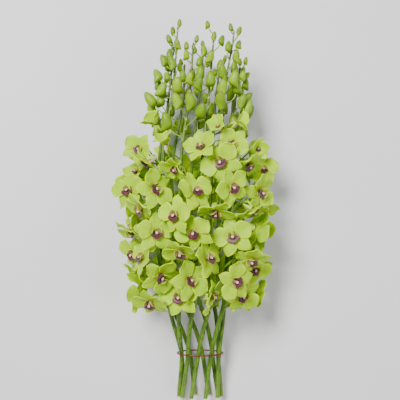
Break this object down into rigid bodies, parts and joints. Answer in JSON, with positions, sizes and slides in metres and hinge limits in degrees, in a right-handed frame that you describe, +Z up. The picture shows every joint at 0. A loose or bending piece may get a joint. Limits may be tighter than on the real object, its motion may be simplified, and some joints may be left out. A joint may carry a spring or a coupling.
{
  "type": "bunch of cut dendrobium orchid stems",
  "caption": "Bunch of cut green dendrobium orchid stems with open blooms and buds, tied with a thin red band and lying on its side.",
  "frame": {"origin": "on the surface the bunch lies on, under the middle of its box", "axes": "+Y along the stems from the cut ends to the top buds, +X across the bunch, +Z up"},
  "size_m": [0.252, 0.586, 0.1945],
  "materials": {
    "petals": "satin lime-green petals and buds",
    "stems": "smooth green canes, darker and browner at the top",
    "lips": "velvety maroon lips",
    "columns": "waxy pale pink and cream",
    "band": "smooth red elastic"
  },
  "bodies": {
    "root": {"spray_01": "petals", "spray_02": "petals", "spray_03": "petals", "spray_04": "petals", "spray_05": "petals", "spray_06": "petals", "spray_07": "petals", "spray_08": "petals", "spray_09": "petals", "spray_10": "petals", "band": "band"}
  },
  "joints": []
}
